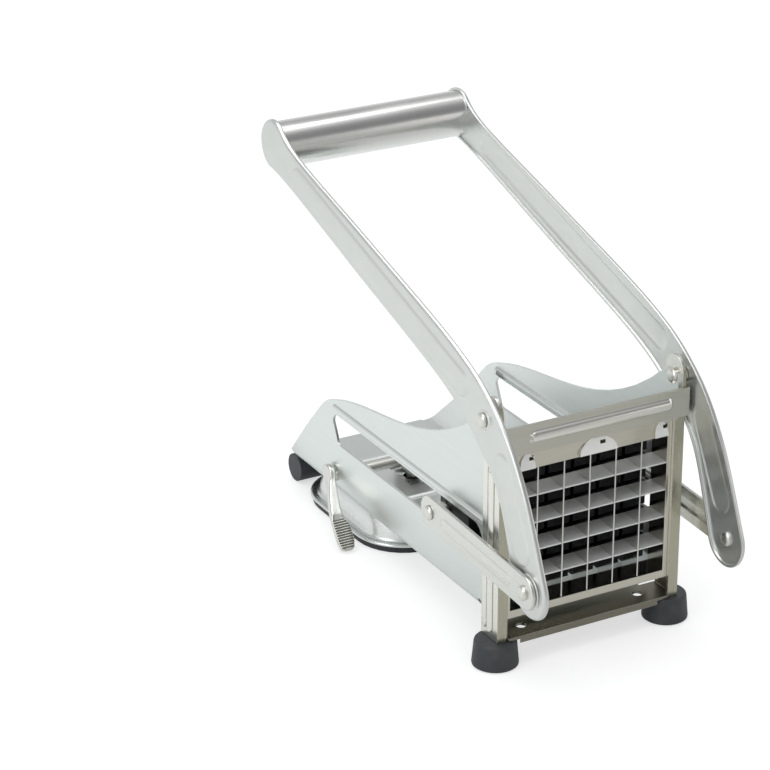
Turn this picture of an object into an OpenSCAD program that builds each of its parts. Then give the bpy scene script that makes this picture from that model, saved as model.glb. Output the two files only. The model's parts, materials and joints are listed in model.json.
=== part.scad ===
// Hand-lever french fry cutter in folded stainless sheet.
// Potato trough, removable blade grid at the front, black pusher on a
// lever-driven slide, rubber feet and a suction base with its own lever.
// +Z is up, the blades face -Y, the handle lies to the rear (+Y).
// Everything is modelled from the lever pivot (Y = 0) and then moved so that
// the origin is the middle of the bounding box on the table.

/* [Sheet metal] */
// Thickness of the trough, strap and arm sheet
sheet_t = 1.2; // [0.8:0.1:1.6]
// Thickness of the two front posts
post_t = 1.5; // [1.0:0.1:2.0]
// Thickness of the two connecting links
link_t = 1.5; // [1.0:0.1:2.5]

/* [Trough] */
// Width over the upright side walls
trough_w = 86.4; // [84:0.2:94]
// Width over the underside of the floor
floor_w = 77; // [72:0.5:80]
// Height of the underside of the floor
floor_z = 15.8; // [14.5:0.1:17]
// Height of the fold between upright and sloping side
fold_z = 43.4; // [38:0.1:44]
// Gap between the suction base and the rear rubber bar
bar_gap = 0.8; // [0.5:0.1:4]
// Rear edge of the side wall at the fold
fold_rear = 166; // [156:0.5:172]
// Rear shoulder of the side wall, distance behind the pivot
shoulder_y = 141; // [137:0.5:146]
// Rear shoulder of the side wall, height
shoulder_z = 65; // [62:0.5:68]
// Side wall top at the posts
wall_top = 114; // [110:0.5:116]
// Height of the bead over the side slot
bead_z = 61.6; // [61:0.1:64]
// Radius of the bead over the side slot
bead_r = 2.2; // [1.4:0.1:2.6]
// Lower edge of the side slot
slot_z = 44.6; // [44.2:0.1:46]
// Height of the side slot
slot_h = 14; // [13:0.1:14.4]
// Front end of the side slot
slot_front = 9.5; // [9:0.5:14]
// Rear end of the side slot
slot_rear = 139.5; // [137:0.5:142]
// Radius of the drain holes in the lower corners
drain_r = 2.2; // [1.5:0.1:2.8]

/* [Posts and strap] */
// Width of a post's side face
post_w = 13; // [12:0.5:16]
// Centre of a post behind the pivot
post_y = 0.5; // [0:0.5:2]
// Depth of a post's front flange
post_flange = 4.8; // [4:0.1:7]
// Top of the posts
post_top = 121; // [119:0.5:126]
// Lower end of the posts inside the feet
post_low = 3; // [2:0.5:5]
// Lower edge of the front strap
strap_z = 96; // [95.5:0.5:97]
// Height of the front strap
strap_h = 12.7; // [10:0.1:13]
// Length of the strap's side ears
strap_ear = 11; // [8:0.5:14]
// Length of the strap's embossed bead
strap_bead = 64; // [40:1:68]
// Middle of the bead to the right of the strap's middle
strap_shift = 3; // [0:0.5:5]
// Front shelf: height of its underside
shelf_z = 11.9; // [11.8:0.1:13]
// Front shelf: depth from front to rear
shelf_d = 20; // [16:0.5:24]
// Half width of the shelf behind the posts
shelf_rear_x = 34; // [30:0.5:35]
// Screw holes in the front shelf, distance from the middle
shelf_hole_x = 29; // [20:0.5:30]
// Radius of the screw holes in the front shelf
shelf_hole_r = 2.2; // [1.5:0.1:2.6]

/* [Blades] */
// Spacing of the blades, which is the size of a fry
cell = 12.6; // [12:0.1:12.7]
// Number of cells across
cells_x = 6; // [5:1:6]
// Number of cells up
cells_z = 5; // [4:1:5]
// Lower edge of the blade window
window_z = 24.5; // [24:0.1:25.5]
// Thickness of a blade
blade_t = 0.6; // [0.4:0.1:0.9]
// Depth of a blade from front to rear
blade_d = 11; // [8:0.5:12]
// Thickness of the blade frame's side rails
rail_w = 3.6; // [3:0.1:4]
// Height of the blade frame's top rail
rail_top = 7.5; // [6:0.5:8]
// Thickness of the half-round bosses at their foot
boss_t = 1.4; // [0.8:0.1:1.5]
// Lean of the bosses' faces, away from the front
boss_lean = 10; // [0:1:12]

/* [Lever] */
// Height of the lever pivot
pivot_z = 112; // [111:0.5:114]
// Pivot to handle centre
handle_reach = 195.4; // [180:0.5:205]
// Slope of the handle arms above level
handle_rise = 17.9; // [15:0.1:24]
// Diameter of the handle tube
handle_d = 21; // [18:0.5:24]
// Wall of the handle tube
handle_wall = 1.2; // [0.8:0.1:2]
// Pivot to the lower pin of the arms
leg_len = 70.7; // [66:0.1:72]
// Forward lean of the arms' lower legs
leg_lean = 30.3; // [28:0.1:33]
// Depth of an arm over its rolled edge
arm_depth = 3; // [2.4:0.1:4]
// Half width of an arm just below the handle
arm_half_top = 8.7; // [7.5:0.1:10]
// Half width of an arm along its straight run
arm_half_mid = 10.8; // [9.5:0.1:12]
// Radius of an arm's lower end
leg_end_r = 12.3; // [11:0.1:13.5]
// Depth of the stamped ribs
rib_depth = 0.7; // [0.4:0.1:0.9]
// Width of the ribs along the handle arms
rib_w = 12; // [9:0.5:12.5]

/* [Pivots] */
// Radius of the lever pivot pins
pivot_r = 2.4; // [2:0.1:2.7]
// Radius of the pins at both ends of a link
link_pin_r = 2.5; // [2:0.1:2.8]
// Radius of the round rivet heads
head_r = 3.2; // [3:0.1:4.2]
// Height of the round rivet heads
head_h = 1.8; // [1.2:0.1:2.2]
// Running clearance round every pivot pin
pin_gap = 0.05; // [0.02:0.01:0.1]
// Radius of the small rivets in posts and shelf
small_r = 1.45; // [1.2:0.05:1.8]
// Radius of the rivets in the suction base
base_rivet_r = 1.95; // [1.5:0.05:2.4]

/* [Pusher] */
// Height of the pusher's cross pin
cross_z = 54; // [52:0.1:55]
// Cross pin behind the pivot
cross_y = 39.9; // [37:0.1:42]
// Half width of a link
link_half = 7.3; // [6.5:0.1:8]
// Length of a pusher stud
stud_l = 8; // [5:0.5:9]
// Height of the sloping tip of a stud
stud_tip = 1.2; // [0.5:0.1:2]
// Space between neighbouring studs
stud_gap = 1.8; // [1.4:0.1:3]
// Thickness of the pusher's face plate
face_t = 5; // [3:0.5:7]
// Distance from the blades to the studs
stud_stand = 1.2; // [0.8:0.1:3]
// Rear end of the pusher's deck
deck_rear = 54; // [50:0.5:56]
// Play of the guide rails in the side slots
rail_play = 0.5; // [0.3:0.1:0.8]

/* [Suction base] */
// Centre of the suction base behind the pivot
base_y = 144.5; // [140:0.5:148]
// Width over the base rim
base_w = 81; // [74:0.5:83]
// Length over the base rim
base_l = 88; // [80:0.5:92]
// Corner radius of the base rim
base_r = 25; // [16:0.5:32]
// Height of the rubber pad
pad_h = 3; // [2:0.5:4]
// Height of the cross shaft
shaft_z = 25; // [24.5:0.1:28]
// Radius of the cross shaft
shaft_r = 2.5; // [2:0.1:3]
// Radius of the lifting cam
cam_r = 5; // [4.4:0.1:5.4]
// Throw of the lifting cam
cam_throw = 2; // [1.5:0.1:2.2]
// Slope of the suction lever's neck below level
tab_drop = 33.5; // [30:0.5:35]
// Length of the suction lever's neck from its shaft
tab_len = 24; // [22:0.5:26]
// Slope of the suction lever's grip below its neck
grip_bend = 21; // [15:1:24]
// Length of the suction lever's grip
grip_len = 15.4; // [13:0.2:16]
// Width of the suction lever's grip
tab_w = 8.6; // [7:0.1:9.2]
// Thickness of the suction lever's grip
tab_t = 2.6; // [2:0.1:3.2]
// Thickness of the suction lever's neck
tab_neck = 4.4; // [3.5:0.1:5]
// Length of the suction lever's hub
tab_hub = 2.6; // [2:0.1:3]
// Radius of the lifting foot over the pad
stem_foot_r = 13; // [10:0.5:16]
// Thickness of the lifting foot
stem_foot_t = 2; // [1.5:0.1:3]
// Space under the suction lever's tip
tab_clear = 0.8; // [0.5:0.1:2]

/* [Feet] */
// Radius of a front foot on the table
foot_r = 10; // [9.4:0.1:10.8]
// Height of a front foot
foot_h = 11.5; // [9:0.1:11.7]
// Centre of a front foot ahead of its post
foot_lead = 1.2; // [0:0.1:1.6]
// Centre of a front foot from the middle
foot_x = 42.4; // [41.5:0.1:43.5]
// Radius of the rear rubber bar
bar_r = 6.7; // [6:0.1:7]
// Length of the rear rubber bar
bar_l = 70; // [60:1:74]

/* [Hidden] */
$fn = 48;

steel = [0.76, 0.77, 0.77];
bright = [0.86, 0.87, 0.88];
dark_steel = [0.36, 0.35, 0.32];
black = [0.06, 0.06, 0.07];
rubber = [0.16, 0.17, 0.18];

eps = 0.01;
seat = 0.1;                       // clearance where one sheet lies in another

// Half widths of the stack, from the trough outwards
wall_x = trough_w / 2;
floor_x = floor_w / 2;
post_x = wall_x + post_t;
strap_in = post_x + seat;
strap_x = strap_in + sheet_t;
arm_in = strap_x + 0.4;
arm_x = arm_in + arm_depth;
web_out = arm_x - rib_depth;
web_in = web_out - sheet_t;
link_in = arm_x + 0.2;
link_x = link_in + link_t;
head_x = link_x + head_h;

// Side view points [y, z] of the lever
pivot = [0, pivot_z];
up_dir = [cos(handle_rise), sin(handle_rise)];
up_nrm = [-up_dir[1], up_dir[0]];
leg_dir = [-sin(leg_lean), -cos(leg_lean)];
leg_nrm = [leg_dir[1], -leg_dir[0]];
handle_c = pivot + handle_reach * up_dir;
leg_c = pivot + leg_len * leg_dir;
cross = [cross_y, cross_z];
arm_end_r = handle_d / 2 + sheet_t + seat;

// Posts, strap and blade frame, from front to rear
post_front = post_y - post_w / 2;
post_rear = post_y + post_w / 2;
strap_y = post_front - sheet_t;
frame_front = post_front + post_t + seat;
frame_rear = post_rear;
blade_front = frame_front + 0.4;
blade_rear = blade_front + blade_d;
window_w = cells_x * cell;
window_h = cells_z * cell;
window_x = window_w / 2;
window_top = window_z + window_h;
frame_x = window_x + rail_w;
floor_top = floor_z + sheet_t;
foot_y = post_y - foot_lead;

// Pusher
face_front = blade_rear + stud_stand + stud_l;
face_rear = face_front + face_t;
stud_w = cell - stud_gap;
rail_low = slot_z + rail_play;
rail_high = slot_z + slot_h - rail_play;

// Suction base
cam_lead = 60;                    // cam's angle above level when locked
stem_z = shaft_z + cam_throw * sin(cam_lead);
rim_t = 1.2;
rim_z = pad_h;

// Rear rubber bar on the floor's down-turned edge
bar_y = base_y + base_l / 2 + bar_gap + bar_r;
floor_rear = bar_y - bar_r * 0.37;
y_rear = bar_y + bar_r;
y_front = leg_c[0] - leg_end_r;
y_mid = (y_rear + y_front) / 2;

// ---------- helpers ----------

// Puts a part made about the lever pivot into the finished frame
module placed() { translate([0, -y_mid, 0]) children(); }

// Extrudes a side view (y, z) along X from x0 to x1
module side(x0, x1) {
    translate([x0, 0, 0]) rotate([90, 0, 90]) linear_extrude(height = x1 - x0) children();
}

// Cylinder along X
module rod(r, x0, x1, at) {
    translate([x0, at[0], at[1]]) rotate([0, 90, 0]) cylinder(r = r, h = x1 - x0);
}

// Same as rod(), on the right for s = 1 and on the left for s = -1
module side_rod(s, r, x0, x1, at) { rod(r, min(s * x0, s * x1), max(s * x0, s * x1), at); }

module side_of(s, x0, x1) { side(min(s * x0, s * x1), max(s * x0, s * x1)) children(); }

// Domed rivet head, flat side at x0, growing along s
module rivet_head(s, x0, at, r = head_r, h = head_h) {
    translate([s * x0, at[0], at[1]]) rotate([0, s * 90, 0])
        rotate_extrude() polygon([[0, 0], [r, 0], [r, h * 0.35], [r * 0.8, h * 0.8], [r * 0.45, h], [0, h]]);
}

function arc(c, r, a0, a1, n) = [for (i = [0:n]) c + r * [cos(a0 + (a1 - a0) * i / n), sin(a0 + (a1 - a0) * i / n)]];

// Outline of a bar with two round ends
function bar_pts(c1, r1, c2, r2) = let (d = c2 - c1, a = atan2(d[1], d[0]), b = acos((r1 - r2) / norm(d)))
    concat(arc(c2, r2, a - b, a + b, 12), arc(c1, r1, a + b, a - b + 360, 12));

function bez(p, t) = pow(1 - t, 3) * p[0] + 3 * t * pow(1 - t, 2) * p[1] + 3 * t * t * (1 - t) * p[2] + pow(t, 3) * p[3];

function spline(a, b, c, d, t) = 0.5 * (2 * b + t * (c - a) + t * t * (2 * a - 5 * b + 4 * c - d) + pow(t, 3) * (3 * b - a - 3 * c + d));

// Rectangle with round corners, centred
function round_rect(w, l, r) = concat(
    arc([w / 2 - r, l / 2 - r], r, 0, 90, 8), arc([-w / 2 + r, l / 2 - r], r, 90, 180, 8),
    arc([-w / 2 + r, -l / 2 + r], r, 180, 270, 8), arc([w / 2 - r, -l / 2 + r], r, 270, 360, 8));

// ---------- trough ----------

// Half cross-section of the sheet, from the wall top to the middle of the floor
function half_section(t) = let (k = (wall_x - floor_x) / (fold_z - floor_z))
    [[wall_x - t, wall_top + 5], [wall_x - t, fold_z + t * k / 2],
     [floor_x + 2.4 * k + 0.5 - t, floor_z + 4], [floor_x - 0.9 - t * 0.8, floor_z + 1.2 + t * 0.5],
     [floor_x - 3.2 - t * 0.3, floor_z + t]];

module section() {
    outer = half_section(0);
    inner = half_section(sheet_t);
    polygon(concat(outer, [for (i = [4:-1:0]) [-outer[i][0], outer[i][1]]],
        [for (p = inner) [-p[0], p[1]]], [for (i = [4:-1:0]) inner[i]]));
}

// Side view of the trough: sloping rear, shoulder and the dip along the top
module silhouette() {
    top = [[shoulder_y, shoulder_z], [100, shoulder_z + 15.5], [56, wall_top - 45], [post_rear - 2, wall_top]];
    rear = [[fold_rear, fold_z], [fold_rear - 13, fold_z + 13], [shoulder_y + 9, shoulder_z - 2.5], [shoulder_y, shoulder_z]];
    polygon(concat([[frame_front, floor_z - 5], [floor_rear, floor_z - 5], [floor_rear, floor_z + sheet_t]],
        [for (i = [0:5]) bez(rear, i / 5)], [for (i = [1:14]) bez(top, i / 14)], [[frame_front, wall_top]]));
}

// The slot that the pusher's rails run in, upright at its rear end
module slot_shape() {
    r = slot_h / 2;
    polygon(concat(arc([slot_front + r, slot_z + r], r, 90, 270, 12),
        arc([slot_rear - 5, slot_z + 3], 3, 270, 360, 4),
        arc([slot_rear - 2.5, slot_z + slot_h - 4], 4, 0, 90, 4)));
}

module trough() {
    color(steel) placed() difference() {
        union() {
            intersection() {
                translate([0, floor_rear, 0]) rotate([90, 0, 0]) linear_extrude(height = floor_rear - frame_front) section();
                side(-wall_x - 1, wall_x + 1) silhouette();
            }
            // Down-turned rear edge that carries the rubber bar
            translate([-bar_l / 2 + 2, floor_rear, bar_r + 1]) cube([bar_l - 4, sheet_t, floor_top - bar_r - 1]);
            translate([-bar_l / 2 + 2, floor_rear - 1, floor_z]) cube([bar_l - 4, 1 + sheet_t, sheet_t]);
            // Rolled bead over each slot
            for (s = [-1, 1]) translate([s * (wall_x - bead_r + 1.1), post_rear + 1, bead_z])
                rotate([-90, 0, 0]) cylinder(r = bead_r, h = slot_rear - post_rear - 1);
            // Two ribs pressed into the floor in front of the shaft
            for (y = [base_y - 22, base_y + 22]) translate([-26, y, floor_top - 0.5]) intersection() {
                translate([0, 0, -1]) rotate([0, 90, 0]) cylinder(r = 2.6, h = 52);
                translate([0, -4, 0]) cube([52, 8, 4]);
            }
        }
        for (s = [-1, 1]) {
            // Groove behind the bead
            translate([s * (wall_x - bead_r - 0.2), post_rear + 3, bead_z])
                rotate([-90, 0, 0]) cylinder(r = bead_r - 0.8, h = slot_rear - post_rear - 5);
            side_of(s, wall_x - 4, wall_x + 4) slot_shape();
            // Room for the blade frame beside the floor tongue
            translate([s > 0 ? window_x - 2 : -wall_x - 1, frame_front - 1, floor_z - 6])
                cube([wall_x - window_x + 3, post_rear + 1 - frame_front + 1, fold_z - floor_z + 6]);
            side_rod(s, pivot_r + seat, wall_x - 4, wall_x + 4, pivot);
            side_rod(s, shaft_r + pin_gap, floor_x - 6, wall_x + 4, [base_y, shaft_z]);
            // Drain hole in the lower corner behind each post
            side_rod(s, drain_r, floor_x - 8, wall_x + 4, [post_rear + 10.5, floor_z + 2.6]);
        }
        // Front of the floor ends under the blade frame
        translate([-wall_x, frame_front - 1, floor_z - 6]) cube([2 * wall_x, post_y + 3.5 - frame_front + 1, fold_z - floor_z]);
        // Hole for the lifting stem
        translate([-7, base_y - 10.5, floor_z - 1]) cube([14, 21, sheet_t + 2]);
        base_rivet_holes();
        for (s = [-1, 1]) side_rod(s, small_r + 0.05, wall_x - 4, wall_x + 4, post_rivet_at[1]);
    }
}

base_rivet_at = [for (x = [-0.26, 0.26], y = [-0.15, 0.15]) [x * base_w, base_y + y * base_l]];
module base_rivet_holes() {
    for (p = base_rivet_at) translate([p[0], p[1], floor_z - 4]) cylinder(r = base_rivet_r + 0.05, h = 8);
}

// ---------- posts, strap, shelf ----------

module post_side() {
    r = post_w / 2;
    polygon(concat([[post_front, post_low], [post_rear, post_low]], arc([post_y, post_top - r], r, 0, 180, 12)));
}

module post(s) {
    difference() {
        union() {
            side_of(s, wall_x, post_x) post_side();
            // Front flange that the blade frame slides down behind
            translate([min(s * post_x, s * (post_x - post_flange)), post_front, post_low])
                cube([post_flange, post_t, window_top + rail_top - post_low]);
            // Stiffening rib
            intersection() {
                side_of(s, post_x - 0.5, post_x + 1)
                    polygon(bar_pts([post_y, shelf_z + 5], 2.2, [post_y, window_top - 2], 2.2));
                translate([s * (post_x - 2.2), post_y, shelf_z]) cylinder(r = 3.1, h = window_top - shelf_z + 4);
            }
        }
        side_rod(s, pivot_r + seat, wall_x - 2, post_x + 2, pivot);
        for (p = post_rivet_at) side_rod(s, small_r + 0.05, wall_x - 2, post_x + 2, p);
    }
}

module left_post() { color(steel) placed() post(-1); }
module right_post() { color(steel) placed() post(1); }

module front_strap() {
    color(steel) placed() {
        difference() {
            union() {
                translate([-strap_x, strap_y, strap_z]) cube([2 * strap_x, sheet_t, strap_h]);
                for (s = [-1, 1]) side_of(s, strap_in, strap_x) polygon([
                    [strap_y, strap_z], [strap_y + strap_ear - 2, strap_z], [strap_y + strap_ear, strap_z + 2],
                    [strap_y + strap_ear, strap_z + 8], [strap_y + strap_ear - 3, strap_z + strap_h - 2.6],
                    [strap_y + 2, strap_z + strap_h - 2.2], [strap_y, strap_z + strap_h]]);
                // Embossed bead
                translate([strap_shift, strap_y + eps, strap_z + strap_h / 2 + 0.6]) rotate([90, 0, 0]) {
                    linear_extrude(height = 0.7) polygon(bar_pts([-strap_bead / 2, 0], 2.2, [strap_bead / 2, 0], 2.2));
                    linear_extrude(height = 1.3) polygon(bar_pts([-strap_bead / 2, 0], 1.4, [strap_bead / 2, 0], 1.4));
                }
            }
            translate([strap_shift, strap_y + sheet_t + eps, strap_z + strap_h / 2 + 0.6]) rotate([90, 0, 0])
                linear_extrude(height = 1.1) polygon(bar_pts([-strap_bead / 2, 0], 1, [strap_bead / 2, 0], 1));
        }
    }
}

// Rivets through post and shelf, and under the strap through post and wall
small_head_r = 1.8 * small_r;
post_rivet_at = [[post_rear - 1.3 * small_r - 0.3, shelf_z + sheet_t + small_head_r + 1.2], [post_y, strap_z + small_head_r + 1.4]];

module front_shelf() {
    color(dark_steel) placed() difference() {
        union() {
            translate([-wall_x, frame_front, shelf_z]) cube([2 * wall_x, post_rear - frame_front, sheet_t]);
            translate([-shelf_rear_x, frame_front, shelf_z]) cube([2 * shelf_rear_x, shelf_d - post_t, sheet_t]);
            translate([-(post_x - post_flange - seat), post_front - 1, shelf_z])
                cube([2 * (post_x - post_flange - seat), 6, sheet_t]);
            translate([-(post_x - post_flange - seat), post_front - 1, shelf_z - 2])
                cube([2 * (post_x - post_flange - seat), sheet_t, 2 + sheet_t]);
            for (s = [-1, 1]) translate([s > 0 ? wall_x - sheet_t : -wall_x, frame_front, shelf_z])
                cube([sheet_t, post_rear - frame_front, 2 * sheet_t + 2 * small_head_r + 1.5]);
        }
        for (s = [-1, 1]) {
            translate([s * shelf_hole_x, post_y + 0.5, shelf_z - 1]) cylinder(r = shelf_hole_r, h = sheet_t + 2);
            side_rod(s, small_r + 0.05, wall_x - 3, wall_x + 1, post_rivet_at[0]);
            // Clear of the feet
            translate([s * foot_x, foot_y, -1]) cylinder(r = foot_r + 0.3, h = foot_h + 1.3);
        }
    }
}

module post_rivets() {
    color(bright) placed() for (s = [-1, 1]) {
        for (i = [0, 1]) {
            side_rod(s, small_r, wall_x - sheet_t, post_x + (i == 0 ? 0.3 : 0), post_rivet_at[i]);
            rivet_head(-s, -(wall_x - sheet_t), post_rivet_at[i], small_head_r, 0.8);
        }
        rivet_head(s, post_x, post_rivet_at[0], 1.3 * small_r, 0.6);
    }
}

// ---------- blades ----------

// Bosses: [middle, half width]
boss = [[strap_shift - 0.9 * window_x, 3.7], [strap_shift, 9.1], [strap_shift + 0.82 * window_x, 3.4]];

module blade_frame() {
    color(bright) placed() difference() {
        union() {
            difference() {
                translate([-frame_x, frame_front, window_z - 3.5])
                    cube([2 * frame_x, frame_rear - frame_front, window_h + 3.5 + rail_top]);
                translate([-window_x, frame_front - 1, window_z])
                    cube([window_w, frame_rear - frame_front + 2, window_h]);
            }
            // Rear leg standing on the floor of the trough
            translate([-window_x + 6, post_y + 4.5, floor_top]) cube([window_w - 12, frame_rear - post_y - 4.5, window_z - floor_top - 1]);
            // Half-round bosses on the top rail, under the strap
            for (b = boss) difference() {
                translate([b[0], frame_front + eps, window_top + 0.5]) rotate([90, 0, 0])
                    linear_extrude(height = boss_t) intersection() {
                        scale([b[1] / (rail_top - 0.7), 1]) circle(r = rail_top - 0.7);
                        translate([-b[1], 0]) square([2 * b[1], rail_top]);
                    }
                translate([b[0] - b[1] - 1, frame_front - boss_t, window_top + 0.5]) rotate([-boss_lean, 0, 0])
                    translate([0, -rail_top, 0]) cube([2 * b[1] + 2, rail_top, 2 * rail_top]);
            }
        }
        // Slot through each boss
        for (b = boss) translate([b[0] + 0.8, frame_front - 2, window_top + 0.55 * rail_top]) cube([2.6, 5, 1.5]);
        for (i = [1:cells_x - 1]) translate([-window_x + i * cell - blade_t / 2 - 0.15, blade_front - 0.2, window_z - 2.3])
            cube([blade_t + 0.3, blade_d + 0.4, window_h + 4.6]);
        for (i = [1:cells_z - 1]) translate([-window_x - 2.3, blade_front - 0.2, window_z + i * cell - blade_t / 2 - 0.15])
            cube([window_w + 4.6, blade_d + 0.4, blade_t + 0.3]);
    }
}

// Upright blades, notched from the rear at every crossing
module vertical_blades() {
    color(bright) placed() for (i = [1:cells_x - 1]) difference() {
        translate([-window_x + i * cell - blade_t / 2, blade_front, window_z - 2.2]) cube([blade_t, blade_d, window_h + 4.4]);
        for (j = [1:cells_z - 1]) translate([-window_x + i * cell - 2, blade_front + blade_d / 2 - 0.1, window_z + j * cell - blade_t / 2 - 0.1])
            cube([4, blade_d, blade_t + 0.2]);
    }
}

// Level blades, notched from the front to seat in the upright ones
module horizontal_blades() {
    color(bright) placed() for (j = [1:cells_z - 1]) difference() {
        translate([-window_x - 2.2, blade_front, window_z + j * cell - blade_t / 2]) cube([window_w + 4.4, blade_d, blade_t]);
        for (i = [1:cells_x - 1]) translate([-window_x + i * cell - blade_t / 2 - 0.1, blade_front - 1, window_z + j * cell - 2])
            cube([blade_t + 0.2, blade_d / 2 + 1.1, 4]);
    }
}

// ---------- feet ----------

module front_feet() {
    color(rubber) placed() for (s = [-1, 1]) translate([s * foot_x, 0, 0]) difference() {
        translate([0, foot_y, 0]) rotate_extrude() polygon([[0, 0], [foot_r - 0.5, 0], [foot_r - 0.1, 0.3],
            [foot_r, 0.9], [foot_r - 0.9, foot_h - 1.1], [foot_r - 1.1, foot_h - 0.5], [foot_r - 1.5, foot_h - 0.1],
            [foot_r - 1.8, foot_h], [0, foot_h]]);
        // Pocket for the post
        translate([-s * foot_x, 0, 0]) {
            side_of(s, wall_x - seat, post_x + seat) translate([post_front - seat, post_low]) square([post_w + 2 * seat, 20]);
            translate([min(s * (post_x + seat), s * (post_x - post_flange - seat)), post_front - seat, post_low])
                cube([post_flange + 2 * seat, post_t + 2 * seat, 20]);
        }
    }
}

// Round rubber bar, slit to slide over the down-turned edge of the floor
module rear_foot() {
    color(rubber) placed() difference() {
        rod(bar_r, -bar_l / 2, bar_l / 2, [bar_y, bar_r]);
        translate([-bar_l / 2 + 2 - seat, floor_rear - seat, bar_r + 1]) cube([bar_l - 4 + 2 * seat, sheet_t + 2 * seat, 20]);
    }
}

// ---------- lever ----------

// Centre line and half width of an arm, from handle to lower pin
arm_line = [
    [handle_c[0], handle_c[1], arm_end_r],
    concat(handle_c - 21 * up_dir - 1 * up_nrm, [arm_half_top]),
    concat(pivot + 110 * up_dir + 1 * up_nrm, [(arm_half_top + arm_half_mid) / 2]),
    concat(pivot + 34 * up_dir + 3 * up_nrm, [arm_half_mid]),
    [pivot[0], pivot[1] - 3, 11.6],
    concat(pivot + 31 * leg_dir + 5 * leg_nrm, [arm_half_mid]),
    [leg_c[0], leg_c[1], leg_end_r]];

function pick(i) = arm_line[max(0, min(len(arm_line) - 1, i))];
arm_fine = concat([for (i = [0:len(arm_line) - 2], k = [0:5]) spline(pick(i - 1), pick(i), pick(i + 1), pick(i + 2), k / 6)],
    [arm_line[len(arm_line) - 1]]);
function run_dir(i) = let (a = arm_fine[max(0, i - 1)], b = arm_fine[min(len(arm_fine) - 1, i + 1)], d = [b[0] - a[0], b[1] - a[1]]) d / norm(d);

function arm_outline(inset) = let (n = len(arm_fine) - 1, d0 = run_dir(0), d1 = run_dir(n),
    a0 = atan2(d0[1], d0[0]), a1 = atan2(d1[1], d1[0]))
    concat(
        [for (i = [1:n - 1]) let (p = arm_fine[i], d = run_dir(i)) [p[0], p[1]] + (p[2] - inset) * [-d[1], d[0]]],
        arc([arm_fine[n][0], arm_fine[n][1]], arm_fine[n][2] - inset, a1 + 90, a1 - 90, 14),
        [for (i = [n - 1:-1:1]) let (p = arm_fine[i], d = run_dir(i)) [p[0], p[1]] - (p[2] - inset) * [-d[1], d[0]]],
        arc([arm_fine[0][0], arm_fine[0][1]], arm_fine[0][2] - inset, a0 - 90, a0 - 270, 14));

// Ribs stamped into an arm: [end, end, half width]
arm_ribs = [
    [pivot + 20.5 * up_dir + 3.2 * up_nrm, handle_c - 27 * up_dir - 0.6 * up_nrm, rib_w / 2],
    [pivot + 21 * leg_dir + 4.4 * leg_nrm, leg_c - 16.5 * leg_dir + 2.8 * leg_nrm, rib_w / 2 + 0.6]];

module arm(s) {
    difference() {
        union() {
            side_of(s, web_in, web_out) polygon(arm_outline(0));
            // Rolled edge
            side_of(s, arm_in, web_in + eps) difference() {
                polygon(arm_outline(0));
                polygon(arm_outline(sheet_t));
            }
            for (r = arm_ribs) {
                side_of(s, web_out - eps, web_out + rib_depth * 0.55) polygon(bar_pts(r[0], r[2], r[1], r[2]));
                side_of(s, web_out - eps, arm_x) polygon(bar_pts(r[0], r[2] - 0.6, r[1], r[2] - 0.6));
            }
            // Raised seats around the two pins
            side_rod(s, leg_end_r - 1.5, web_out - eps, arm_x, leg_c);
            side_rod(s, head_r + 0.8, web_out - eps, arm_x, pivot);
        }
        for (r = arm_ribs) side_of(s, web_in - 1, web_in + rib_depth) polygon(bar_pts(r[0], r[2] - 1.2, r[1], r[2] - 1.2));
        side_rod(s, handle_d / 2 + 0.05, arm_in - 1, web_in, handle_c);
        side_rod(s, pivot_r + pin_gap, arm_in - 1, arm_x + 1, pivot);
        side_rod(s, link_pin_r + seat, arm_in - 1, arm_x + 1, leg_c);
    }
}

module left_arm() { color(steel) placed() arm(-1); }
module right_arm() { color(steel) placed() arm(1); }

module handle_tube() {
    color(steel) placed() difference() {
        rod(handle_d / 2, -web_in, web_in, handle_c);
        rod(handle_d / 2 - handle_wall, -web_in + 2, web_in - 2, handle_c);
    }
}

// Shouldered pins that the arms turn on, riveted through post and wall
module lever_pivot_pins() {
    color(bright) placed() for (s = [-1, 1]) {
        side_rod(s, pivot_r, wall_x - sheet_t, arm_x + 0.2, pivot);
        side_rod(s, 1.5 * pivot_r, post_x, web_in - 0.15, pivot);
        rivet_head(s, arm_x + 0.15, pivot, head_r, head_h - 0.1);
        rivet_head(-s, -(wall_x - sheet_t), pivot, head_r, head_h - 0.4);
    }
}

// Inner halves of the lower pins, fast in the arms
module arm_end_rivets() {
    color(bright) placed() for (s = [-1, 1]) {
        side_rod(s, link_pin_r, web_in - 0.2, arm_x, leg_c);
        rivet_head(-s, -web_in, leg_c, head_r, head_h - 0.2);
    }
}

// ---------- links ----------

module link(s) {
    difference() {
        union() {
            side_of(s, link_in, link_x) polygon(bar_pts(leg_c, link_half, cross, link_half));
            side_of(s, link_x - eps, link_x + 0.6)
                polygon(bar_pts(leg_c + 0.17 * (cross - leg_c), 3, cross + 0.17 * (leg_c - cross), 3));
        }
        side_of(s, link_in - 1, link_in + 0.7)
            polygon(bar_pts(leg_c + 0.17 * (cross - leg_c), 2.2, cross + 0.17 * (leg_c - cross), 2.2));
        side_rod(s, link_pin_r + pin_gap, link_in - 1, link_x + 1, cross);
        side_rod(s, link_pin_r + seat, link_in - 1, link_x + 1, leg_c);
    }
}

module left_link() { color(steel) placed() link(-1); }
module right_link() { color(steel) placed() link(1); }

// Outer halves of the lower pins, fast in the links
module link_rivet(s) {
    side_rod(s, link_pin_r, link_in, link_x + 0.2, leg_c);
    rivet_head(s, link_x, leg_c);
}
module left_link_rivet() { color(bright) placed() link_rivet(-1); }
module right_link_rivet() { color(bright) placed() link_rivet(1); }

// ---------- pusher ----------

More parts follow.
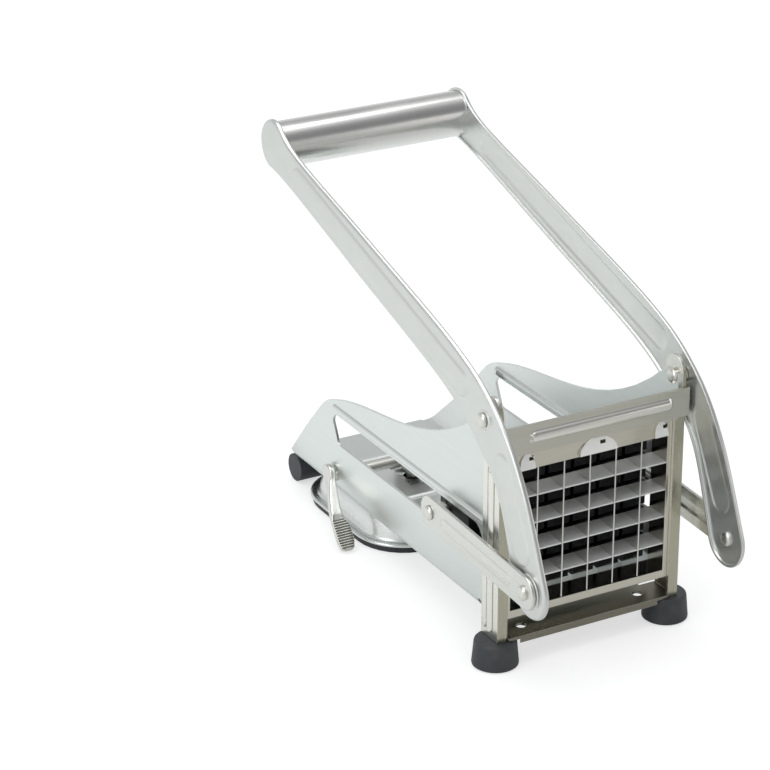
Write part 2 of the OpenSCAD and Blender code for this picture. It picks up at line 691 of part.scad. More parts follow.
module pusher_block() {
    half = window_x - 0.6;
    gusset_x = window_x * 0.66;
    color(black) placed() difference() {
        union() {
            // Face plate with one stud for each cell
            translate([-half, face_front, window_z + 0.5]) cube([2 * half, face_t, window_h - 1]);
            for (i = [0:cells_x - 1], j = [0:cells_z - 1])
                translate([-window_x + (i + 0.5) * cell, face_front + eps, window_z + (j + 0.5) * cell]) rotate([90, 0, 0])
                    {
                        translate([-stud_w / 2, -stud_w / 2, 0]) cube([stud_w, stud_w, stud_l - stud_tip + eps]);
                        translate([0, 0, stud_l - stud_tip]) rotate([0, 0, 45])
                            cylinder(r1 = stud_w / sqrt(2), r2 = stud_w * 0.3, h = stud_tip, $fn = 4);
                    }
            // Deck with the guide rails that run in the side slots
            translate([-half, face_rear - eps, rail_low]) cube([2 * half, deck_rear - face_rear, rail_high - rail_low]);
            for (s = [-1, 1]) translate([s > 0 ? half - eps : -wall_x + 0.3, face_rear, rail_low])
                cube([wall_x - 0.3 - half + eps, cross_y + 4.6 - face_rear, rail_high - rail_low]);
            // Gussets behind the face plate
            for (x = [-gusset_x, gusset_x]) side(x - 1.5, x + 1.5) polygon([[face_rear - 1, rail_high - 1],
                [deck_rear - 6, rail_high - 1], [face_rear - 1, window_top - 6]]);
            for (x = [-gusset_x, gusset_x]) side(x - 1.5, x + 1.5) polygon([[face_rear - 1, rail_low + 1],
                [deck_rear - 14, rail_low + 1], [face_rear - 1, window_z + 5]]);
        }
        // Hollow deck, open below
        for (s = [-1, 1]) translate([s > 0 ? gusset_x + 3 : -half + 3.5, face_rear + 2, rail_low - 1])
            cube([half - gusset_x - 6.5, deck_rear - face_rear - 6, 6]);
        translate([-gusset_x + 3, face_rear + 2, rail_low - 1]) cube([2 * gusset_x - 6, deck_rear - face_rear - 6, 4.5]);
        rod(link_pin_r + 0.02, -wall_x - 1, wall_x + 1, cross);
    }
}

// Rod through the pusher that the links hang on
module pusher_cross_pin() {
    color(bright) placed() {
        rod(link_pin_r, -link_x - 0.3, link_x + 0.3, cross);
        for (s = [-1, 1]) rivet_head(s, link_x + 0.15, cross, head_r, head_h - 0.15);
    }
}

module link_spacers() {
    color(bright) placed() for (s = [-1, 1]) difference() {
        side_rod(s, link_pin_r + 0.8, wall_x - 0.2, link_in - 0.1, cross);
        side_rod(s, link_pin_r + 0.02, wall_x - 2, link_in + 2, cross);
    }
}

// ---------- suction base ----------

module base_plan(inset, h) {
    linear_extrude(height = h) polygon(round_rect(base_w - 2 * inset, base_l - 2 * inset, base_r - inset));
}

module base_bowl(inset, top) {
    hull() {
        base_plan(4 + inset, 0.5);
        translate([0, 0, (top - rim_z) * 0.6]) base_plan(6.5 + inset, 0.1);
        translate([0, 0, top - rim_z - 0.1]) base_plan(12 + inset, 0.1);
    }
}

module suction_housing() {
    color(steel) placed() translate([0, base_y, 0]) difference() {
        translate([0, 0, rim_z]) union() {
            base_plan(0, rim_t);
            base_bowl(0, floor_z);
        }
        translate([0, 0, rim_z - 0.01]) base_bowl(rim_t, floor_z - rim_t + 0.01);
        cylinder(r = 0.6 * cam_r + 0.2, h = floor_z + 1);
        translate([0, -base_y, 0]) base_rivet_holes();
    }
}

module suction_pad() {
    color(rubber) placed() translate([0, base_y, 0]) difference() {
        union() {
            base_plan(1.2, pad_h);
        }
        translate([0, 0, -1]) base_plan(8, 2);
    }
}

module base_rivets() {
    color(bright) placed() for (p = base_rivet_at) translate([p[0], p[1], 0]) {
        translate([0, 0, floor_z - rim_t - 0.1]) cylinder(r = base_rivet_r, h = rim_t + sheet_t + 0.2);
        translate([0, 0, floor_top]) cylinder(r1 = 1.75 * base_rivet_r, r2 = 1.25 * base_rivet_r, h = 1.1);
        translate([0, 0, floor_z - rim_t - 0.9]) cylinder(r = 1.5 * base_rivet_r, h = 0.9);
    }
}

// Shaft across the trough with the cam that lifts the stem
module suction_shaft() {
    color(bright) placed() {
        rod(shaft_r, -tab_in - tab_hub, wall_side_x + 1.2, [base_y, shaft_z]);
        rod(cam_r, -3, 3, [base_y + cam_throw * cos(cam_lead), stem_z]);
        rod(shaft_r + 1.6, wall_side_x + 0.3, wall_side_x + 1.5, [base_y, shaft_z]);
    }
}

// Half width over the sloping side where the shaft goes through, and the lever beside it
wall_side_x = wall_x - (wall_x - floor_x) * (fold_z - shaft_z) / (fold_z - floor_z) + 0.9;
tab_in = wall_side_x + 0.4;

// Lever: hub, neck and a thumb grip with cross ridges, turned to face upwards
module suction_lever() {
    out = -(head_x - 0.1 - tab_in);
    mid = out + tab_w / 2;
    color(steel) placed() difference() {
        translate([-tab_in, base_y, shaft_z]) rotate([tab_drop, 0, 0]) {
            translate([-tab_hub, 0, 0]) rotate([0, 90, 0]) cylinder(r = 1.8 * shaft_r, h = tab_hub);
            translate([0, 0, -tab_neck / 2]) linear_extrude(height = tab_neck) polygon([[0, 1], [-tab_hub, 1],
                [-tab_hub, -4], [mid - tab_w * 0.25, -tab_len + 3], [mid - tab_w * 0.25, -tab_len - 1],
                [mid + tab_w * 0.25, -tab_len - 1], [mid + tab_w * 0.25, -tab_len + 4], [-2.4, -10], [-1.2, -5], [0, -2]]);
            translate([0, -tab_len, tab_neck / 2 + 0.3]) rotate([grip_bend, 0, 0]) {
                translate([0, 0, -tab_t]) linear_extrude(height = tab_t) polygon([[out, -2.4], [mid, -1], [out + tab_w, -2.4],
                    [out + tab_w, -grip_len + 2.6], [mid + 2, -grip_len + 0.4], [mid, -grip_len], [mid - 2, -grip_len + 0.4],
                    [out, -grip_len + 2.6]]);
                for (i = [0:9]) translate([out, -3.8 - i * 0.07 * grip_len, -eps]) cube([tab_w, 0.6, 0.45]);
            }
        }
        rod(shaft_r + 0.02, -tab_in - 6, -tab_in + 3, [base_y, shaft_z]);
        // Flat under the tip, clear of the table
        translate([-head_x - 20, 0, tab_clear - 20]) cube([head_x + 10, base_y, 20]);
    }
}

// Stem with the window that the cam turns in, and the foot that lifts the pad
module suction_stem() {
    win_y = cam_r + cam_throw + 0.4;
    win_z = cam_r + 0.25;
    neck_r = 0.6 * cam_r;
    foot_z = pad_h + 2 * cam_throw * sin(cam_lead) + 0.4;
    color(dark_steel) placed() translate([0, base_y, 0]) difference() {
        union() {
            translate([-neck_r - 1.5, -win_y - 1.6, stem_z - win_z - 1.8]) cube([2 * neck_r + 3, 2 * win_y + 3.2, 2 * win_z + 3.6]);
            translate([0, 0, foot_z + stem_foot_t / 2]) cylinder(r = neck_r, h = stem_z - win_z - foot_z - stem_foot_t / 2);
            translate([0, 0, foot_z]) cylinder(r = stem_foot_r, h = stem_foot_t);
        }
        translate([-10, -win_y, stem_z - win_z]) cube([20, 2 * win_y, 2 * win_z]);
    }
}

trough();
left_post();
right_post();
front_strap();
front_shelf();
blade_frame();
vertical_blades();
horizontal_blades();
front_feet();
rear_foot();
post_rivets();
base_rivets();
suction_housing();
suction_pad();
lever_pivot_pins();
left_arm();
right_arm();
handle_tube();
arm_end_rivets();
pusher_block();
pusher_cross_pin();
link_spacers();
left_link();
right_link();
left_link_rivet();
right_link_rivet();
suction_lever();
suction_shaft();
suction_stem();
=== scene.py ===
# Lever french fry cutter: sheet-steel trough, blade grid, black pusher on a
# slide, U handle with two links, rubber feet and a suction base.
# The sections follow the cutter as it is put together, from the trough up.
import json
import math
import bpy
import bmesh
from mathutils import Matrix, Vector


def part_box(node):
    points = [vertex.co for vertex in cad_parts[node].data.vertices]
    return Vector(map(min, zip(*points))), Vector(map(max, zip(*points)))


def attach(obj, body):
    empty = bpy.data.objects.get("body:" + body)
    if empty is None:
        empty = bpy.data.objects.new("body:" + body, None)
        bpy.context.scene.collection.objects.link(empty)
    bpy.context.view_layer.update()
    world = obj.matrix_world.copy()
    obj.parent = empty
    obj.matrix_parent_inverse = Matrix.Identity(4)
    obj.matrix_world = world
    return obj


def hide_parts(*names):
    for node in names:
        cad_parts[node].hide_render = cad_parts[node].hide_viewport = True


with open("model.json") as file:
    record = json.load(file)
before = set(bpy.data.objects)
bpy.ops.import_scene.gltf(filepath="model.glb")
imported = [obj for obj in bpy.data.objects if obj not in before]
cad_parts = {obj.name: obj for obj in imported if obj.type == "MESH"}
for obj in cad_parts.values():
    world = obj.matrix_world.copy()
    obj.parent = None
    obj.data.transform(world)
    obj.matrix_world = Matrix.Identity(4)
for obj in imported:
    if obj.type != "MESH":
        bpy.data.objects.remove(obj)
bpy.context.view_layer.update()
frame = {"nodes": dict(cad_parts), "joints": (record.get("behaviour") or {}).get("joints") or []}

nodes = frame["nodes"]


# ---- Studio ---------------------------------------------------------------
# A white table that runs out of sight, one large overhead softbox, a left key
# and a right fill. The world is the pale studio room that the metal mirrors.


def feed(tree, node, feeds):
    """Sets a node's inputs, or links them where the value is a socket."""
    for socket, value in feeds.items():
        if isinstance(value, bpy.types.NodeSocket):
            tree.links.new(value, node.inputs[socket])
        else:
            node.inputs[socket].default_value = value


def put(tree, kind, feeds=None, **settings):
    """A new shader node with its settings and inputs."""
    node = tree.nodes.new("ShaderNode" + kind)
    for name, value in settings.items():
        setattr(node, name, value)
    feed(tree, node, feeds or {})
    return node


room = bpy.data.worlds.new("studio room")
bpy.context.scene.world = room
room.use_nodes = True
tree = room.node_tree
tree.nodes.clear()
coords = put(tree, "TexCoord")
split = put(tree, "SeparateXYZ", {0: coords.outputs["Generated"]})
# What mirrors see from below (0) over the horizon (0.5) to overhead (1)
height = put(tree, "MapRange", {"Value": split.outputs["Z"], "From Min": -1})
mirrored = put(tree, "ValToRGB", {0: height.outputs[0]})
stops = mirrored.color_ramp.elements
for place, grey in ((0.0, 0.50), (0.40, 0.62), (0.52, 0.78), (0.62, 0.74), (0.76, 0.40), (0.90, 0.46),
                    (0.97, 0.9)):
    stop = stops.new(place) if place else stops[0]
    stop.color = (grey, grey * 1.005, grey * 1.01, 1)
stops[-1].color = (1, 1, 1, 1)
# The room is lit from behind and the left, and falls off to the front right
side_on = put(tree, "VectorMath", {0: coords.outputs["Generated"], 1: (0.45, -0.89, 0)},
              operation="DOT_PRODUCT")
unlit = put(tree, "MapRange", {"Value": side_on.outputs["Value"], "From Min": 0.0, "From Max": 0.9,
                               "To Min": 1.0, "To Max": 0.5}, interpolation_type="SMOOTHSTEP")
glossy = put(tree, "Background", {"Color": mirrored.outputs[0], "Strength": unlit.outputs[0]})
plain = put(tree, "Background", {"Color": (0.97, 0.985, 1.0, 1), "Strength": 0.66})
white = put(tree, "Background", {"Color": (1, 1, 1, 1)})
rays = put(tree, "LightPath")
lighting = put(tree, "MixShader", {0: rays.outputs["Is Glossy Ray"], 1: plain.outputs[0],
                                   2: glossy.outputs[0]})
backdrop = put(tree, "MixShader", {0: rays.outputs["Is Camera Ray"], 1: lighting.outputs[0],
                                   2: white.outputs[0]})
put(tree, "OutputWorld", {0: backdrop.outputs[0]})

table_mesh = bpy.data.meshes.new("studio_table")
table_mesh.from_pydata([(-6, -6, 0), (6, -6, 0), (6, 6, 0), (-6, 6, 0)], [], [(0, 1, 2, 3)])
studio_table = bpy.data.objects.new("studio_table", table_mesh)
studio_table.location.z = -0.0003
bpy.context.scene.collection.objects.link(studio_table)
paper = bpy.data.materials.new("white table")
paper.use_nodes = True
table_mesh.materials.append(paper)
tree = paper.node_tree
tree.nodes.clear()
# In mirrors the table is pale behind on the left and falls off, warmer,
# towards the front right, where it runs into the unlit side of the room.
spot = put(tree, "TexCoord")
across = put(tree, "VectorMath", {0: spot.outputs["Object"], 1: (-0.55, 0.835, 0)}, operation="DOT_PRODUCT")
run = put(tree, "MapRange", {"Value": across.outputs["Value"], "From Min": -0.30, "From Max": 0.16},
          interpolation_type="SMOOTHSTEP")
fall = put(tree, "Mix", {"Factor": run.outputs[0], "A": (0.055, 0.048, 0.030, 1),
                         "B": (0.37, 0.39, 0.38, 1)}, data_type="RGBA")
rays = put(tree, "LightPath")
tone = put(tree, "Mix", {"Factor": rays.outputs["Is Glossy Ray"], "A": (0, 0, 0, 1),
                         "B": fall.outputs["Result"]}, data_type="RGBA")
seen = put(tree, "Mix", {"Factor": rays.outputs["Is Camera Ray"], "A": tone.outputs["Result"],
                         "B": (0.60, 0.60, 0.60, 1)}, data_type="RGBA")
glow = put(tree, "Emission", {"Color": seen.outputs["Result"]})
lit = put(tree, "BsdfDiffuse", {"Color": (0.50, 0.50, 0.50, 1)})
both = put(tree, "AddShader", {0: lit.outputs[0], 1: glow.outputs[0]})
put(tree, "OutputMaterial", {0: both.outputs[0]})


def softbox(name, place, aim, size, power, tint):
    """A rectangular lamp that looks at one point."""
    lamp = bpy.data.lights.new(name, "AREA")
    lamp.shape = "RECTANGLE"
    lamp.size, lamp.size_y = size
    lamp.energy = power
    lamp.color = tint
    obj = bpy.data.objects.new(name, lamp)
    obj.location = place
    obj.rotation_euler = (Vector(aim) - Vector(place)).to_track_quat("-Z", "Y").to_euler()
    bpy.context.scene.collection.objects.link(obj)


softbox("overhead softbox", (-0.1, 0.1, 1.25), (0, 0, 0.08), (1.3, 0.9), 6.2, (1, 0.995, 0.985))
softbox("left key", (-1.25, -0.35, 0.75), (0, 0, 0.09), (0.8, 0.9), 4.0, (0.94, 0.975, 1))
softbox("right fill", (0.9, -0.9, 0.35), (0, 0, 0.08), (0.5, 0.5), 0.7, (1, 0.97, 0.92))

# The camera's place is measured from the handle's pivot. back runs from what it
# looks at to the lens, right is the picture's right-hand side.
pivot = Vector(next(j["pos_m"] for j in frame["joints"] if j["name"] == "lever_hinge"))
to_lens = Vector((-0.5772, -0.8791, 0.4652))
tilt = math.radians(-0.17)
view = bpy.data.cameras.new("photograph view")
view.sensor_width = 36
view.lens = 131.55
camera = bpy.data.objects.new("photograph view", view)
back = Vector((-0.4411, -0.8024, 0.4019)).normalized()
right = Matrix.Rotation(tilt, 3, back) @ Vector((0.8763, -0.4817, 0)).normalized()
up = back.cross(right)
camera.matrix_world = Matrix.Translation(pivot + to_lens) @ Matrix((right, up, back)).transposed().to_4x4()
bpy.context.scene.collection.objects.link(camera)
bpy.context.scene.camera = camera
bpy.context.scene.view_settings.view_transform = "Standard"


# ---- Trough ---------------------------------------------------------------
# One folded sheet of cold-rolled stainless steel with a satin, slightly cool
# finish: rolling grain along its length, hairlines, and cut edges with a painted highlight.


def effect(name, sockets):
    """A new shader node group, its input node and its output node."""
    g = bpy.data.node_groups.new(name, "ShaderNodeTree")
    for title, way, kind, start in sockets:
        s = g.interface.new_socket(name=title, in_out=way, socket_type=kind)
        if start is not None:
            s.default_value = start
    return g, g.nodes.new("NodeGroupInput"), g.nodes.new("NodeGroupOutput")


# Grain of a rolled or brushed sheet: noise drawn out along one direction,
# broad smudges, and hairlines where a third noise crosses its middle
grain, gin, gout = effect("metal grain", [
    ("Stretch", "INPUT", "NodeSocketVector", (900, 40, 900)),
    ("Grain", "OUTPUT", "NodeSocketFloat", None),
    ("Smudge", "OUTPUT", "NodeSocketFloat", None),
    ("Hairline", "OUTPUT", "NodeSocketFloat", None)])
place = put(grain, "TexCoord").outputs["Object"]
drawn = put(grain, "VectorMath", {0: place, 1: gin.outputs["Stretch"]}, operation="MULTIPLY")
fine = put(grain, "TexNoise", {"Vector": drawn.outputs[0], "Scale": 1, "Detail": 5, "Roughness": 0.65})
cloud = put(grain, "TexNoise", {"Vector": place, "Scale": 28, "Detail": 4})
lines = put(grain, "TexNoise", {"Vector": place, "Scale": 60, "Detail": 2, "Distortion": 2.5})
middle = put(grain, "Math", {0: lines.outputs[0], 1: 0.5}, operation="SUBTRACT")
away = put(grain, "Math", {0: middle.outputs[0]}, operation="ABSOLUTE")
thin = put(grain, "MapRange", {"Value": away.outputs[0], "From Max": 0.004, "To Min": 1, "To Max": 0})
feed(grain, gout, {"Grain": fine.outputs[0], "Smudge": cloud.outputs[0], "Hairline": thin.outputs[0]})

# Edges broken by deburring: a rounded normal, and a mask where the edge is
edges, ein, eout = effect("broken edge", [
    ("Radius", "INPUT", "NodeSocketFloat", 0.0003),
    ("Normal", "OUTPUT", "NodeSocketVector", None),
    ("Edge", "OUTPUT", "NodeSocketFloat", None)])
rounded = put(edges, "Bevel", {"Radius": ein.outputs["Radius"]}, samples=6)
flat = put(edges, "NewGeometry")
dot = put(edges, "VectorMath", {0: rounded.outputs[0], 1: flat.outputs["True Normal"]},
          operation="DOT_PRODUCT")
near = put(edges, "MapRange", {"Value": dot.outputs["Value"], "From Min": 0.995, "From Max": 0.85})
feed(edges, eout, {"Normal": rounded.outputs[0], "Edge": near.outputs[0]})


def metal(name, tone, worn, roughness, spread, stretch, edge=0.0003, relief=0.06, aniso=0.0):
    """Steel in one tone, with its own grain, smudges, hairlines and a painted highlight on its edges."""
    m = bpy.data.materials.new(name)
    m.use_nodes = True
    t = m.node_tree
    g = put(t, "Group", {"Stretch": stretch}, node_tree=grain)
    e = put(t, "Group", {"Radius": edge}, node_tree=edges)
    how = put(t, "MapRange", {"Value": g.outputs["Grain"], "From Min": 0.35, "From Max": 0.95})
    shade = put(t, "Mix", {"Factor": how.outputs[0], "A": (*tone, 1), "B": (*worn, 1)}, data_type="RGBA")
    # Every edge is painted lighter, towards near white: a painted highlight
    edge_highlight_share = put(t, "Math", {0: e.outputs["Edge"], 1: 0.45}, operation="MULTIPLY")
    edge_highlighted = put(t, "Mix", {"Factor": edge_highlight_share.outputs[0], "A": shade.outputs["Result"],
                             "B": (0.93, 0.93, 0.91, 1)}, data_type="RGBA")
    blend = put(t, "Math", {0: g.outputs["Grain"], 1: g.outputs["Smudge"]}, operation="ADD")
    dull = put(t, "MapRange", {"Value": blend.outputs[0], "From Min": 0.6, "From Max": 1.4,
                               "To Min": roughness - spread, "To Max": roughness + spread})
    marks = put(t, "Math", {0: g.outputs["Grain"], 1: g.outputs["Hairline"]}, operation="SUBTRACT")
    bump = put(t, "Bump", {"Strength": relief, "Distance": 0.0001, "Height": marks.outputs[0],
                           "Normal": e.outputs["Normal"]})
    feed(t, t.nodes["Principled BSDF"], {
        "Base Color": edge_highlighted.outputs["Result"], "Metallic": 1, "Roughness": dull.outputs[0],
        "Anisotropic": aniso, "Normal": bump.outputs[0]})
    return m


def finish(node, material):
    """Puts a material on a CAD node, smooth over its curves, sharp at its edges."""
    o = nodes[node]
    for s in o.material_slots:
        s.material = material
    if not o.material_slots:
        o.data.materials.append(material)
    o.data.polygons.foreach_set("use_smooth", [True] * len(o.data.polygons))
    weld = o.modifiers.new("joined", "WELD")
    weld.merge_threshold = 0.000002
    sharp = o.modifiers.new("sharp edges", "EDGE_SPLIT")
    sharp.split_angle = math.radians(32)


body_steel = metal("satin body sheet", (0.82, 0.855, 0.84), (0.78, 0.815, 0.805),
                   0.36, 0.05, (700, 35, 700), 0.0004)
finish("trough", body_steel)


# ---- Posts ----------------------------------------------------------------
# Two angle posts of thicker stainless strip with a pressed rib, riveted to
# the trough and standing in the rubber feet. A little warmer in tone.
post_steel = metal("post strip", (0.90, 0.89, 0.84), (0.85, 0.84, 0.785),
                   0.27, 0.03, (800, 800, 25), 0.0004, 0.03)


def faces_towards(material, way, least):
    """A mask of the faces that look one way."""
    t = material.node_tree
    flat = put(t, "NewGeometry")
    dot = put(t, "VectorMath", {0: flat.outputs["True Normal"], 1: way}, operation="DOT_PRODUCT")
    return put(t, "Math", {0: dot.outputs["Value"], 1: least}, operation="GREATER_THAN").outputs[0]


def recolour(material, mask, tone, mode="MULTIPLY"):
    """Paints the masked faces of a metal in another tone, for painted shade and highlights."""
    t = material.node_tree
    shader = t.nodes["Principled BSDF"]
    before = shader.inputs["Base Color"].links[0].from_socket
    mix = put(t, "Mix", {"Factor": mask, "A": before, "B": (*tone, 1)}, data_type="RGBA", blend_type=mode)
    feed(t, shader, {"Base Color": mix.outputs["Result"]})


def reckon(material, kind, value, other=0.0):
    """The result of one arithmetic node."""
    return put(material.node_tree, "Math", {0: value, 1: other}, operation=kind).outputs[0]


# The flanges that face the front are painted darker and olive: painted shade and a warm painted reflection
recolour(post_steel, faces_towards(post_steel, (0, -1, 0), 0.9), (0.58, 0.57, 0.49))
# Painted shade: dark lines in the creases beside the pressed rib
post_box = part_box("left_post")
post_mid = (post_box[0].y + post_box[1].y) / 2
rib_half, shade_line_half = 0.00245, 0.00035
shade_line_low, shade_line_high = post_box[0].z + 0.012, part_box("front_strap")[0].z - 0.0005
tree = post_steel.node_tree
spot = put(tree, "TexCoord")
split = put(tree, "SeparateXYZ", {0: spot.outputs["Object"]})
painted_crease_shade = reckon(post_steel, "ABSOLUTE", reckon(post_steel, "SUBTRACT", split.outputs["Y"], post_mid))
painted_crease_shade = reckon(post_steel, "ABSOLUTE", reckon(post_steel, "SUBTRACT", painted_crease_shade, rib_half))
painted_crease_shade = reckon(post_steel, "LESS_THAN", painted_crease_shade, shade_line_half)
inside = reckon(post_steel, "GREATER_THAN", split.outputs["Z"], shade_line_low)
below = reckon(post_steel, "LESS_THAN", split.outputs["Z"], shade_line_high)
painted_crease_shade = reckon(post_steel, "MULTIPLY", painted_crease_shade, reckon(post_steel, "MULTIPLY", inside, below))
recolour(post_steel, painted_crease_shade, (0.42, 0.41, 0.37))
finish("left_post", post_steel)
finish("right_post", post_steel)


# ---- Blade frame and blades -----------------------------------------------
# A bright frame that drops in behind the post flanges, slotted for the
# blades. The blades are thin polished strips halved into one another.
frame_steel = metal("blade frame steel", (0.70, 0.675, 0.60), (0.64, 0.61, 0.53),
                    0.18, 0.05, (50, 700, 900), 0.0003)
lit_blade_steel = metal("polished blade", (0.94, 0.945, 0.93), (0.88, 0.88, 0.86),
                    0.50, 0.05, (60, 900, 900), 0.00015, 0.03)
shaded_upright_steel = metal("polished upright blade", (0.80, 0.805, 0.79), (0.74, 0.74, 0.72),
                      0.13, 0.05, (900, 900, 60), 0.00015, 0.03)
# The bosses that lean back get a painted highlight: near white and barely metallic
boss_lean = math.radians(10)
boss_way = (0, -math.cos(boss_lean), math.sin(boss_lean))
boss_highlight_mask = faces_towards(frame_steel, boss_way, 0.998)
recolour(frame_steel, boss_highlight_mask, (0.97, 0.97, 0.95), "MIX")
highlight_metallic = put(frame_steel.node_tree, "MapRange", {"Value": boss_highlight_mask, "To Min": 1.0, "To Max": 0.15})
feed(frame_steel.node_tree, frame_steel.node_tree.nodes["Principled BSDF"], {"Metallic": highlight_metallic.outputs[0]})
finish("blade_frame", frame_steel)
# The flat blades are a lighter, less metallic copy of the upright blades' steel: painted light and shade
lit_blade_steel.node_tree.nodes["Principled BSDF"].inputs["Metallic"].default_value = 0.45
finish("horizontal_blades", lit_blade_steel)
finish("vertical_blades", shaded_upright_steel)


# ---- Left rail boss -------------------------------------------------------
# The small half-round boss at the left end of the blade frame's top rail, a
# twin of the one on the right, with its slot.


def skin(bm, rings):
    """Faces between each closed ring of points and the next."""
    for one, other in zip(rings, rings[1:]):
        for i in range(len(one)):
            j = (i + 1) % len(one)
            bm.faces.new((one[i], one[j], other[j], other[i]))


def turn_into(name, bm, material, smooth=True):
    """Makes an object of a bmesh and puts it into the scene."""
    bmesh.ops.recalc_face_normals(bm, faces=bm.faces)
    mesh = bpy.data.meshes.new(name)
    bm.to_mesh(mesh)
    bm.free()
    if smooth:
        mesh.polygons.foreach_set("use_smooth", [True] * len(mesh.polygons))
    mesh.materials.append(material)
    obj = bpy.data.objects.new(name, mesh)
    bpy.context.scene.collection.objects.link(obj)
    return obj


rail_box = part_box("blade_frame")
boss_mid, boss_half, boss_tall = -0.03102, 0.0037, 0.0068
boss_foot = rail_box[1].z - 0.0070
boss_deep = 0.00145
slot_left, slot_low = boss_mid + 0.0008, rail_box[1].z - 0.003375
slot_wide, slot_tall = 0.0026, 0.0015
half_turn = [math.pi * i / 20 for i in range(21)]
outline = [(boss_mid + boss_half * math.cos(a), boss_foot + boss_tall * math.sin(a)) for a in half_turn]
opening = [(slot_left + dx, slot_low + dz)
           for dx, dz in ((0, 0), (slot_wide, 0), (slot_wide, slot_tall), (0, slot_tall))]
bm = bmesh.new()
face_edges = []
for loop in (outline, opening):
    front = [bm.verts.new((x, rail_box[0].y + math.tan(boss_lean) * (z - boss_foot), z)) for x, z in loop]
    rear = [bm.verts.new((x, rail_box[0].y + boss_deep, z)) for x, z in loop]
    skin(bm, [front, rear])
    face_edges += [bm.edges.get(pair) for pair in zip(front, front[1:] + front[:1])]
bmesh.ops.triangle_fill(bm, edges=face_edges, use_beauty=True)
left_boss = turn_into("left_rail_boss", bm, frame_steel, smooth=False)
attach(left_boss, "frame")


# ---- Front strap and shelf ------------------------------------------------
# The strap is a satin sheet channel with one embossed bead, hooked over the
# posts. The shelf below is a folded strip in a dark metal tone, mottled warmer by the grain.
strap_steel = metal("strap sheet", (0.64, 0.635, 0.575), (0.60, 0.59, 0.53),
                    0.30, 0.05, (35, 700, 700), 0.0004)
shelf_steel = metal("dark shelf sheet", (0.24, 0.23, 0.20), (0.30, 0.27, 0.20),
                    0.30, 0.08, (45, 600, 600), 0.0004)
finish("front_strap", strap_steel)
finish("front_shelf", shelf_steel)


# ---- Rivets and pins ------------------------------------------------------
# Turned and upset stainless pins: fine turning marks, brighter than the sheets round them,
# with a painted highlight on their rims.
rivet_steel = metal("turned rivet", (0.82, 0.81, 0.77), (0.72, 0.71, 0.66),
                    0.34, 0.08, (2500, 2500, 2500), 0.0004, 0.10)
for name in ("post_rivets", "base_rivets", "lever_pivot_pins", "arm_end_rivets", "pusher_cross_pin",
             "link_spacers", "left_link_rivet", "right_link_rivet", "suction_shaft"):
    finish(name, rivet_steel)


# ---- Feet -----------------------------------------------------------------
# Moulded dark rubber: two tapered cups under the posts and a round bar slid
# on to the rear lip. Fine mould texture, with dust that greys it.


def rubber(name, tone, dusty, roughness):
    """Moulded rubber in one tone, with specks, dusty patches and soft edges."""
    m = bpy.data.materials.new(name)
    m.use_nodes = True
    t = m.node_tree
    place = put(t, "TexCoord").outputs["Object"]
    specks = put(t, "TexNoise", {"Vector": place, "Scale": 2600, "Detail": 3})
    patches = put(t, "TexNoise", {"Vector": place, "Scale": 120, "Detail": 5})
    how = put(t, "MapRange", {"Value": patches.outputs[0], "From Min": 0.42, "From Max": 0.72})
    shade = put(t, "Mix", {"Factor": how.outputs[0], "A": (*tone, 1), "B": (*dusty, 1)}, data_type="RGBA")
    dull = put(t, "MapRange", {"Value": patches.outputs[0], "To Min": roughness - 0.08,
                               "To Max": roughness + 0.12})
    e = put(t, "Group", {"Radius": 0.0008}, node_tree=edges)
    bump = put(t, "Bump", {"Strength": 0.12, "Distance": 0.0001, "Height": specks.outputs[0],
                           "Normal": e.outputs["Normal"]})
    feed(t, t.nodes["Principled BSDF"], {
        "Base Color": shade.outputs["Result"], "Roughness": dull.outputs[0], "Normal": bump.outputs[0]})
    return m


foot_rubber = rubber("foot rubber", (0.040, 0.044, 0.050), (0.065, 0.068, 0.072), 0.50)
finish("front_feet", foot_rubber)
finish("rear_foot", foot_rubber)


# ---- Suction base ---------------------------------------------------------
# A pressed steel bowl over a rubber pad, riveted under the floor, with the
# lifting stem inside.
bowl_steel = metal("pressed bowl", (0.80, 0.82, 0.81), (0.76, 0.775, 0.765),
                   0.27, 0.03, (200, 200, 200), 0.0005, 0.01)
bowl_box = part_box("suction_housing")
bowl_mid = (bowl_box[0] + bowl_box[1]) / 2
bowl_half = (bowl_box[1] - bowl_box[0]) / 2
bowl_low, bowl_top = bowl_box[0].z, bowl_box[1].z
bowl_corner, stem_eye, rim_wide = 0.025, 0.0045, 0.0042
bowl_sheet, bowl_inside = 0.0009, 0.001
corner_turn = [math.radians(90 * n / 14) for n in range(15)]


def round_ring(inset, z):
    """A rounded rectangle drawn in from the rim."""
    r = bowl_corner - inset
    at = []
    for i, (sx, sy) in enumerate(((1, 1), (-1, 1), (-1, -1), (1, -1))):
        corner = Vector((bowl_mid.x + sx * (bowl_half.x - bowl_corner),
                         bowl_mid.y + sy * (bowl_half.y - bowl_corner), z))
        for a in corner_turn:
            a += math.radians(90 * i)
            at.append(corner + r * Vector((math.cos(a), math.sin(a), 0)))
    return at


def eye(radius, z):
    """A round hole with as many points as a ring of the bowl."""
    out = []
    for p in round_ring(0, z):
        way = Vector((p.x - bowl_mid.x, p.y - bowl_mid.y, 0)).normalized()
        out.append(Vector((bowl_mid.x, bowl_mid.y, z)) + radius * way)
    return out


